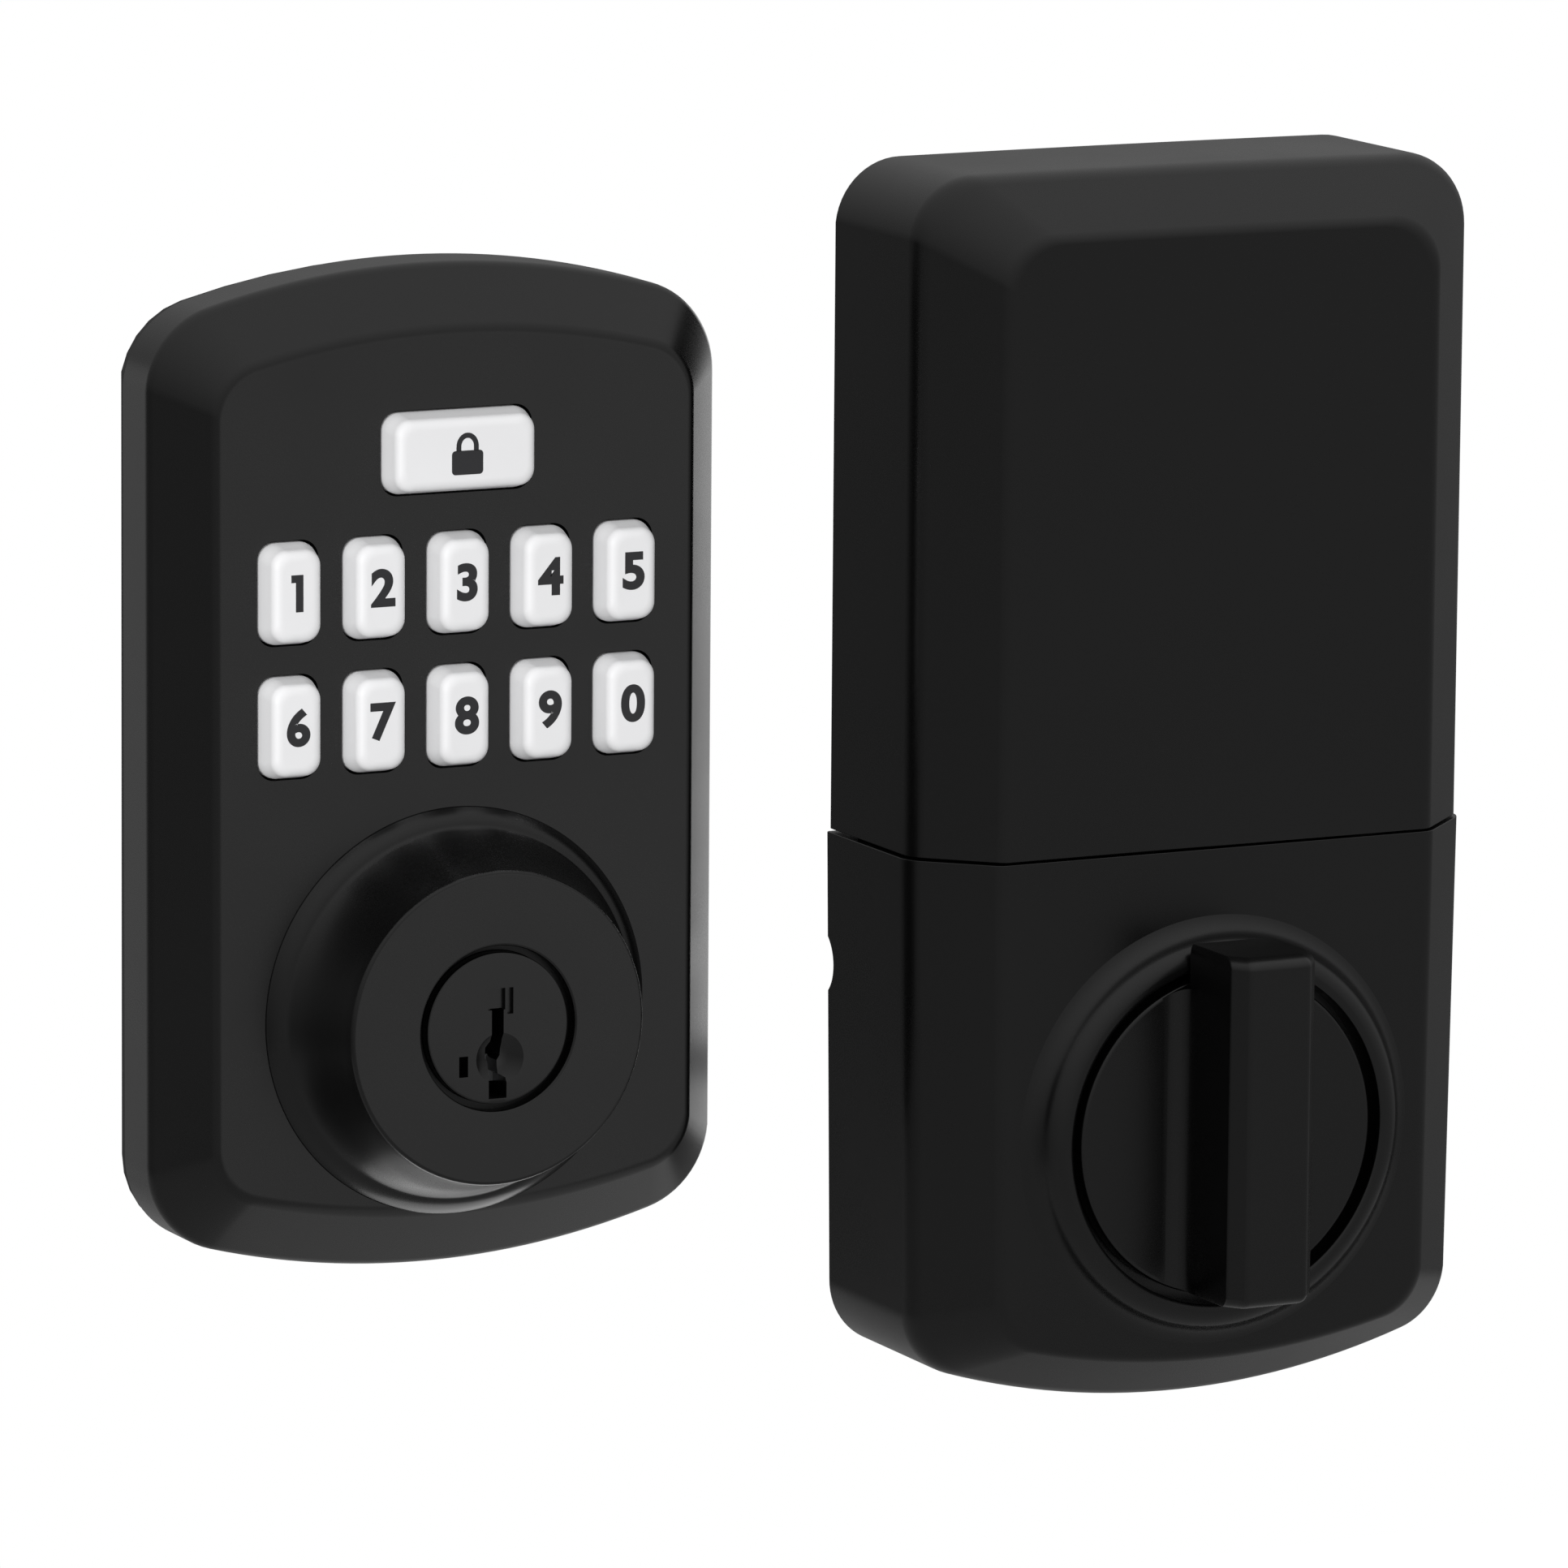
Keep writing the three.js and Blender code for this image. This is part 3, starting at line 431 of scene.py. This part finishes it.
# ---- Keypad unit --------------------------------------------------------------------------------
RING_FRONT, RING_RADIUS, MOUTH, BELL_BORE = -ext_low.y, 19.65, 10.35, 17.0
FACE = EXT["face"]
KEY_EDGE = 0.95
KEY_CORNER = 2.3
KEY_PROUD = 3.3
KEY_DRAFT = 0.5
KEY_LIP = 0.25
key_nodes = [n for n in frame["nodes"] if n.startswith("key_")] + ["lock_key"]


def key_size(node):
    """Middle, width and height of a key's visible cap."""
    low, high = span(node)
    return (low + high) / 2, high.x - low.x - 2 * KEY_EDGE, high.z - low.z - 2 * KEY_EDGE


housing = unit_shell("keypad_housing_skin", EXT, -ext_high.y)
cutters = [prism("bore", circle(CYL_X, CYL_Z, BELL_BORE), -10, -20)]
for node in key_nodes:
    mid, width, height = key_size(node)
    hole = rounded_rect(mid.x, mid.z, width + 2 * KEY_LIP, height + 2 * KEY_LIP, KEY_CORNER)
    cutters.append(prism("hole", hole, -13, -18))
combine(housing, cutters, "DIFFERENCE")
shade(housing)
weighted(housing)
piece(housing, "fixed", "black_paint", "exterior_housing")

# Bell: mouth, flat front ring, flare, then a soft bead that meets the face.
BELL_BACK = 24.4
bell_profile = [(MOUTH, -BELL_BACK), (MOUTH, -RING_FRONT + 0.35), (MOUTH + 0.12, -RING_FRONT + 0.1),
                (MOUTH + 0.35, -RING_FRONT)]
bell_profile += bend((RING_RADIUS - 0.5, -RING_FRONT), (RING_RADIUS, -RING_FRONT),
                     (RING_RADIUS + 0.05, -RING_FRONT + 0.5), 6)
bell_profile += bend((RING_RADIUS + 0.15, -RING_FRONT + 1.2), (RING_RADIUS + 1.5, -FACE - 4.4),
                     (RING_RADIUS + 3.6, -FACE - 1.75), 16)
bell_profile += bend((RING_RADIUS + 3.85, -FACE - 1.58), (RING_RADIUS + 4.9, -FACE - 1.4),
                     (RING_RADIUS + 5.85, -FACE - 0.15), 12)
bell_profile += [(RING_RADIUS + 6.0, -FACE), (RING_RADIUS + 6.0, -FACE + 1), (BELL_BORE, -FACE + 1),
                 (BELL_BORE, -BELL_BACK)]
bell = weighted(turned("cylinder_bell", bell_profile, CYL_X, CYL_Z, 160, 50))
piece(bell, "fixed", "black_paint", "exterior_housing")


KEY_ROUND = 1.3


def key_piece(node):
    """A drafted cap with rounded front edges."""
    mid, width, height = key_size(node)
    front = -span(node)[0].y
    base = front - KEY_PROUD
    path = [(0, base - 2.6), (0, base - 0.4), (0.02, base)]
    path += [(KEY_DRAFT * t, base + (KEY_PROUD - KEY_ROUND) * t) for t in (0.35, 0.7)]
    path += bend((KEY_DRAFT, front - KEY_ROUND), (KEY_DRAFT + 0.12, front - 0.02),
                 (KEY_DRAFT + 1.4, front), 10)
    sections = []
    for shrink, depth in path:
        corner = max(KEY_CORNER - shrink * 0.45, 0.9)
        loop = rounded_rect(mid.x, mid.z, width - 2 * shrink, height - 2 * shrink, corner)
        sections.append([(x, -depth, z) for x, z in loop])
    cap = weighted(loft("cap_" + node, sections, 50))
    return piece(cap, node + "_body", "keycap", node)


FIGURE_HEIGHT = 4.75
FIGURE_LIFT = 0.45
FIGURE_STRETCH = 1.04
STROKE_SWELL = 0.4
INK_BACK, INK_MIDDLE, INK_FRONT, INK_HALF = 0.005, 0.012, 0.022, 0.01


def figure(node, text):
    """A printed figure, a hair's breadth proud of its key."""
    low, high = span(node)
    mid = (low + high) / 2 + Vector((0, 0, FIGURE_LIFT))
    if text == "1":
        one = [(0.65, -2.3), (0.65, 2.3), (-0.95, 2.3), (-0.95, 1.35), (-0.35, 1.35), (-0.35, -2.3)]
        loop = [(mid.x + x, mid.z + z) for x, z in one]
        made = prism("figure_1", loop, low.y - INK_BACK, low.y - INK_FRONT)
        return piece(made, node + "_body", "keycap", material=LEGEND)
    curve = bpy.data.curves.new("figure", "FONT")
    curve.body = "9" if text == "6" else text
    curve.size = 10 * MM
    curve.align_x = curve.align_y = "CENTER"
    curve.offset = STROKE_SWELL * MM
    curve.extrude = INK_HALF * MM
    obj = bpy.data.objects.new("figure", curve)
    bpy.context.scene.collection.objects.link(obj)
    graph = bpy.context.evaluated_depsgraph_get()
    mesh = bpy.data.meshes.new_from_object(obj.evaluated_get(graph))
    bpy.data.objects.remove(obj)
    xs = [v.co.x for v in mesh.vertices]
    ys = [v.co.y for v in mesh.vertices]
    scale = FIGURE_HEIGHT * MM / (max(ys) - min(ys))
    centre = Vector(((max(xs) + min(xs)) / 2, (max(ys) + min(ys)) / 2, 0))
    mesh.transform(Matrix.Translation(-centre))
    # A six is a nine turned over.
    way_up = -1 if text == "6" else 1
    mesh.transform(Matrix.Diagonal((way_up * scale * FIGURE_STRETCH, way_up * scale, 1, 1)))
    mesh.transform(Matrix.Rotation(math.pi / 2, 4, "X"))
    mesh.transform(Matrix.Translation(Vector((mid.x, low.y - INK_MIDDLE, mid.z)) * MM))
    made = bpy.data.objects.new("figure_" + text, mesh)
    bpy.context.scene.collection.objects.link(made)
    return piece(made, node + "_body", "keycap", material=LEGEND)


def padlock_sign(node):
    """A plain closed padlock: a rounded body under a shackle."""
    low, high = span(node)
    mid = (low + high) / 2
    x, z, front = mid.x, mid.z, low.y
    half, bar, bow, leg = 1.5, 0.65, z + 0.9, z + 0.35

    def arch(width, height):
        return [(x + width * math.cos(t), bow + height * math.sin(t))
                for t in (math.pi * k / 16 for k in range(17))]

    loop = arch(half, half + 0.2)
    loop += [(x - half, leg), (x - half + bar, leg)]
    loop += arch(half - bar, half + 0.2 - bar)[::-1]
    loop += [(x + half - bar, leg), (x + half, leg)]
    ink = (front - INK_BACK, front - 0.03)
    body = prism("sign_body", rounded_rect(x, z - 1.1, 4.2, 3.0, 0.5), *ink)
    shackle = prism("sign_shackle", loop, *ink)
    for part in (body, shackle):
        piece(part, node + "_body", "keycap", material=LEGEND)


for node in key_nodes:
    key_piece(node)
    if node.startswith("key_"):
        figure(node, node[-1])
padlock_sign("lock_key")

# Key plug with its cuts.
front = plug_low.y
plug_radius = (plug_high.x - plug_low.x) / 2
plug = turned("plug_face", [(0, front), (plug_radius - 0.3, front), (plug_radius - 0.08, front + 0.08),
                            (plug_radius, front + 0.3), (plug_radius, plug_high.y), (0, plug_high.y)],
              CYL_X, CYL_Z, 128)
way = 0.8
keyway = [(-way, 2.4), (-way, -1.7), (-way - 0.6, -2.4), (-way - 0.6, -3.6), (-way - 0.2, -4.4),
          (-way - 0.2, -6.0), (-way - 0.4, -6.4), (-way - 0.4, -8.8), (way + 0.4, -8.8), (way + 0.4, -6.3),
          (way - 0.5, -5.8), (way - 0.5, -4.2), (way - 0.1, -3.6), (way, -2.0), (way, 2.4)]
dimple = [(0, front - 1), (4.2, front - 1), (3.2, front), (2.4, front + 0.55), (1.2, front + 0.95),
          (0, front + 1.05)]
cuts = [
    turned("dimple", dimple, CYL_X + 0.3, CYL_Z - 3.8, 64),
    slab("recess", CYL_X - 1.3, CYL_X + 1.0, front + 0.6, front - 1, CYL_Z + 2.3, CYL_Z + 5),
    slab("slit", CYL_X + 1.3, CYL_X + 2.1, front + 0.6, front - 1, CYL_Z + 1.7, CYL_Z + 5),
    slab("rekey_slot", CYL_X - 5.2, CYL_X - 4, front + 4, front - 1, CYL_Z - 5.8, CYL_Z - 3.2),
    prism("keyway", [(CYL_X + x, CYL_Z + z) for x, z in keyway], front + 19, front - 1),
]
combine(plug, cuts, "DIFFERENCE")
shade(plug)
weighted(plug)
piece(plug, "plug", "black_paint", "cylinder_plug")

# ---- Battery unit -------------------------------------------------------------------------------
seam_top, seam_bottom = int_low.z, foot_high.z
FLARE, FLARE_HEIGHT, SEAM_LIP = 0.45, 28, 0.3
SEAM_EASE = 0.12


def part_of_unit(shell, low, high):
    """Keeps the stretch of a battery unit shell between two heights."""
    return combine(shell, [slab("stretch", INT["x"] - 60, INT["x"] + 60, 5, -60, low, high)], "INTERSECT")


cover = unit_shell("battery_cover_skin", INT, -int_high.y)
part_of_unit(cover, seam_top, 100)
shade(cover)
eased(cover, SEAM_EASE, 2, 60)
weighted(cover)
piece(cover, "cover", "black_paint", "battery_cover")

lower = unit_shell("lower_housing_skin", INT, -foot_high.y)
part_of_unit(lower, -120, seam_bottom + SEAM_LIP)
# The lower housing stands out at the seam and draws in below it.
for vertex in lower.data.vertices:
    z = vertex.co.z / MM
    spread = max(FLARE * (1 + (z - seam_bottom) / FLARE_HEIGHT), -0.35)
    vertex.co.x = (INT["x"] + (vertex.co.x / MM - INT["x"]) * (1 + spread / INT["half"])) * MM
hub = prism("hub", circle(TURN_X, TURN_Z, 11), -20, -40)
# A round cable notch in the left wall's rear edge.
NOTCH_RADIUS = 4.7
notch = turned("notch", [(0, -4), (NOTCH_RADIUS, -4), (NOTCH_RADIUS, 4), (0, 4)], 0, 0, 64)
notch_place = Vector((int_low.x, 2.65, -31.3)) * MM
notch.data.transform(Matrix.Translation(notch_place) @ Matrix.Rotation(math.pi / 2, 4, "Z"))
combine(lower, [hub, notch], "DIFFERENCE")
shade(lower)
eased(lower, SEAM_EASE, 2, 60)
weighted(lower)
piece(lower, "fixed", "black_paint", "interior_housing")

# Boss round the thumb-turn: a bore with a floor, a flat rim and a soft flare down to the face.
RIM, BORE, RIM_DEPTH, FLOOR = 22.9, 22.0, 35.2, 31.8
boss_profile = [(7.1, -29.0), (7.1, -FLOOR), (BORE, -FLOOR), (BORE, -RIM_DEPTH + 0.3)]
boss_profile += bend((BORE + 0.05, -RIM_DEPTH + 0.15), (BORE + 0.1, -RIM_DEPTH), (RIM, -RIM_DEPTH), 3)
boss_profile += bend((RIM + 0.1, -RIM_DEPTH), (RIM + 1.3, -RIM_DEPTH + 0.15), (RIM + 2.1, -34.0), 8)
boss_profile += bend((RIM + 2.3, -33.6), (RIM + 3.0, -31.9), (RIM + 4.8, -INT["face"]), 12)
boss_profile += [(RIM + 4.8, -30.6), (RIM + 3.0, -29.0)]
boss = weighted(turned("turn_boss", boss_profile, TURN_X, TURN_Z, 160, 50))
piece(boss, "fixed", "black_paint", "interior_housing")

# Thumb-turn: a disc with a bar that stands on a soft foot.
turn_low, turn_high = span("thumb_turn")
disc_radius = (turn_high.x - turn_low.x) / 2
disc_front, disc_back, hub_radius = 34.8, 32.1, 7.0
bar_front, bar_half = -turn_low.y, 6.0
disc = [(0, turn_high.y), (hub_radius, turn_high.y), (hub_radius, -disc_back),
        (disc_radius - 0.3, -disc_back), (disc_radius, -disc_back - 0.3)]
disc += bend((disc_radius, -disc_front + 0.6), (disc_radius, -disc_front),
             (disc_radius - 0.6, -disc_front), 5)
disc += [(0, -disc_front)]
turn = turned("turn_disc", disc, TURN_X, TURN_Z, 160, 40)


def bar_section(shrink_side, shrink_front, back):
    """The bar's cross-section, chamfered on both front edges."""
    half, depth = bar_half - shrink_side, bar_front - shrink_front
    corner = bend((-half, depth - 2.5), (-half, depth - 2.2), (-half + 0.2, depth - 1.95), 4)
    corner += bend((-half + 1.5, depth - 0.35), (-half + 1.8, depth), (-half + 2.25, depth), 5)
    left = [(-half, back)] + corner
    return left + [(-x, d) for x, d in left[::-1]]


def bar_loft(name, stations):
    sections = [[(TURN_X + x, -d, TURN_Z + z) for x, d in section] for z, section in stations]
    return loft(name, sections, 40)


bar_top, bar_bottom = turn_high.z - TURN_Z, turn_low.z - TURN_Z
bar_bottom = max(bar_bottom, 0.85 - disc_radius)
stations = []
for k in range(9):
    t = math.radians(90 * k / 8)
    drop = 1 - math.sin(t)
    stations.append((1.5 * (1 - math.cos(t)), bar_section(0.5 * drop, 2.4 * drop, 35.7)))
ends = [(bar_top - dz, s) for dz, s in stations] + [(bar_bottom + dz, s) for dz, s in stations[::-1]]
bar = bar_loft("turn_bar", ends)
foot_half = [(-bar_half - 3.4, disc_front - 0.6), (-bar_half - 3.4, disc_front - 0.02)]
foot_half += bend((-bar_half - 3.2, disc_front), (-bar_half, disc_front), (-bar_half, disc_front + 3.4), 10)
foot_loop = foot_half + [(-x, d) for x, d in foot_half[::-1]]
foot = bar_loft("turn_foot", [(disc_radius, foot_loop), (-disc_radius, foot_loop)])
trim = turned("trim", [(0, -50), (disc_radius - 0.25, -50), (disc_radius - 0.25, -30), (0, -30)],
              TURN_X, TURN_Z, 160)
combine(foot, [trim], "INTERSECT")
combine(turn, [foot, bar], "UNION")
shade(turn, 40)
weighted(turn)
piece(turn, "turn", "black_paint", "thumb_turn")

# ---- Cells: a flat base, a sleeve with soft ends and a raised tip, every second one turned over ----
SLEEVE_END, TIP_END = 48.7, 50.2
for number in (1, 2, 3, 4):
    low, high = span("battery_%d" % number)
    mid = (low + high) / 2
    radius, up = (high.x - low.x) / 2, number % 2 == 0
    heights = [(0, 0), (4.6, 0), (4.9, 0.3), (radius - 0.9, 0.35)]
    heights += bend((radius - 0.5, 0.35), (radius, 0.35), (radius, 0.9), 4)
    heights += bend((radius, SLEEVE_END - 0.7), (radius, SLEEVE_END), (radius - 0.7, SLEEVE_END), 4)
    heights += [(3.0, SLEEVE_END + 0.05), (2.7, SLEEVE_END + 0.2), (2.7, TIP_END - 0.3), (2.4, TIP_END),
                (0, TIP_END)]
    cell = turned("cell_%d" % number, heights, 0, 0, 64, 40)
    tip = Matrix.Rotation(math.pi / 2 * (-1 if up else 1), 4, "X")
    cell.data.transform(Matrix.Translation(Vector((mid.x, mid.y, high.z if up else low.z)) * MM) @ tip)
    piece(cell, "fixed", "cell_skin", "battery_%d" % number)

# ---- Stage, light and camera, in metres ---------------------------------------------------------
FLOOR_DROP = 0.34
bm = bmesh.new()
bmesh.ops.create_grid(bm, x_segments=8, y_segments=8, size=1.1)
floor = make_object("floor", bm)
floor.location = (0, 0, cad_low.z - FLOOR_DROP)
ground = Graph("pale_floor")
ground.feed(ground.bsdf.inputs["Emission Color"], grey(1))
ground.feed(ground.bsdf.inputs["Emission Strength"], ground.add("LightPath").outputs["Is Camera Ray"])
ground_grey = ground.blend(ground.between(ground.noise(2.0), 0, 1), grey(0.54), grey(0.58))
floor.data.materials.append(ground.finish(base=ground_grey, rough=0.85, specular=0.1))

world = bpy.data.worlds.new("studio")
bpy.context.scene.world = world
world.use_nodes = True
tree = world.node_tree
background = tree.nodes["Background"]
background.inputs["Color"].default_value = grey(1)
surroundings = tree.nodes.new("ShaderNodeTexCoord")


def toward(vector):
    """How far a direction of the surroundings lies along a unit vector."""
    node = tree.nodes.new("ShaderNodeVectorMath")
    node.operation = "DOT_PRODUCT"
    node.inputs[1].default_value = Vector(vector)
    tree.links.new(surroundings.outputs["Generated"], node.inputs[0])
    return node.outputs["Value"]


def calculate(operation, first, second):
    node = tree.nodes.new("ShaderNodeMath")
    node.operation = operation
    for socket, value in zip(node.inputs, (first, second)):
        if isinstance(value, bpy.types.NodeSocket):
            tree.links.new(value, socket)
        else:
            socket.default_value = value
    return node.outputs[0]


# The studio is brightest overhead and dim below. The camera itself sees it plain white.
level = calculate("MAXIMUM", calculate("ADD", toward((0.02, -0.12, 0.46)), 0.29), 0.03)
seen = tree.nodes.new("ShaderNodeLightPath")
shown = tree.nodes.new("ShaderNodeMix")
shown.inputs[3].default_value = 1.0
tree.links.new(seen.outputs["Is Camera Ray"], shown.inputs[0])
tree.links.new(level, shown.inputs[2])
tree.links.new(shown.outputs[0], background.inputs["Strength"])


def softbox(name, direction, radiance, radius=0.45, distance=1.2, only=()):
    """A round soft light that shines on the origin from one direction, on the named pieces only."""
    data = bpy.data.lights.new(name, "AREA")
    data.shape = "DISK"
    data.size = 2 * radius
    data.energy = radiance * math.pi * math.pi * radius ** 2
    lamp = bpy.data.objects.new(name, data)
    lamp.location = Vector(direction).normalized() * distance
    lamp.rotation_euler = Vector(direction).to_track_quat("Z", "Y").to_euler()
    lamp.visible_camera = False
    bpy.context.scene.collection.objects.link(lamp)
    if only:
        lit = bpy.data.collections.new(name + "_lit")
        for obj in only:
            lit.objects.link(obj)
        lamp.light_linking.receiver_collection = lit


# The key light falls on all that isn't painted, apart from the wafers deep in the keyway.
keypad_side = [housing, bell, plug]
wafers = [obj for node, obj in frame["nodes"].items() if node.startswith("wafer_")]
pale = [obj for obj in bpy.context.scene.objects
        if obj.type == "MESH" and obj.data.materials and obj.data.materials[0] not in (PAINT, ground.material)
        and obj not in wafers]
softbox("key_light", (-0.6, -0.78, 0.15), 5.0, only=pale)
softbox("front_fill", (0.435, -0.884, -0.174), 0.4, only=keypad_side)
softbox("left_rear", (-0.435, 0.884, -0.174), 0.3, only=keypad_side)
softbox("right_edge", (0.835, 0.522, -0.174), 1.4, 0.55, only=keypad_side)
softbox("under_bell", (0.08, -0.02, -0.996), 1.8, 0.025, 0.08, only=[bell])
softbox("under_edge", (0.18, -0.12, -0.97), 0.25, 0.04, 0.08, only=[housing])

YAW, PITCH, ROLL, LENS, DISTANCE = 26.2, 10.0, 0.41, 253.2, 1.4
yaw, pitch = math.radians(YAW), math.radians(PITCH)
back = Vector((-math.sin(yaw) * math.cos(pitch), -math.cos(yaw) * math.cos(pitch), math.sin(pitch)))
target = Vector((53.13, 0, -7.75)) * MM
camera_data = bpy.data.cameras.new("camera")
camera_data.sensor_width = 36
camera_data.lens = LENS
camera_data.clip_start, camera_data.clip_end = 0.1, 100
camera = bpy.data.objects.new("camera", camera_data)
camera.location = target + back * DISTANCE
level_view = (-back).to_track_quat("-Z", "Y").to_matrix().to_4x4()
camera.rotation_mode = "QUATERNION"
camera.rotation_quaternion = (level_view @ Matrix.Rotation(math.radians(ROLL), 4, "Z")).to_quaternion()
bpy.context.scene.collection.objects.link(camera)
bpy.context.scene.camera = camera
bpy.context.scene.view_settings.view_transform = "Standard"
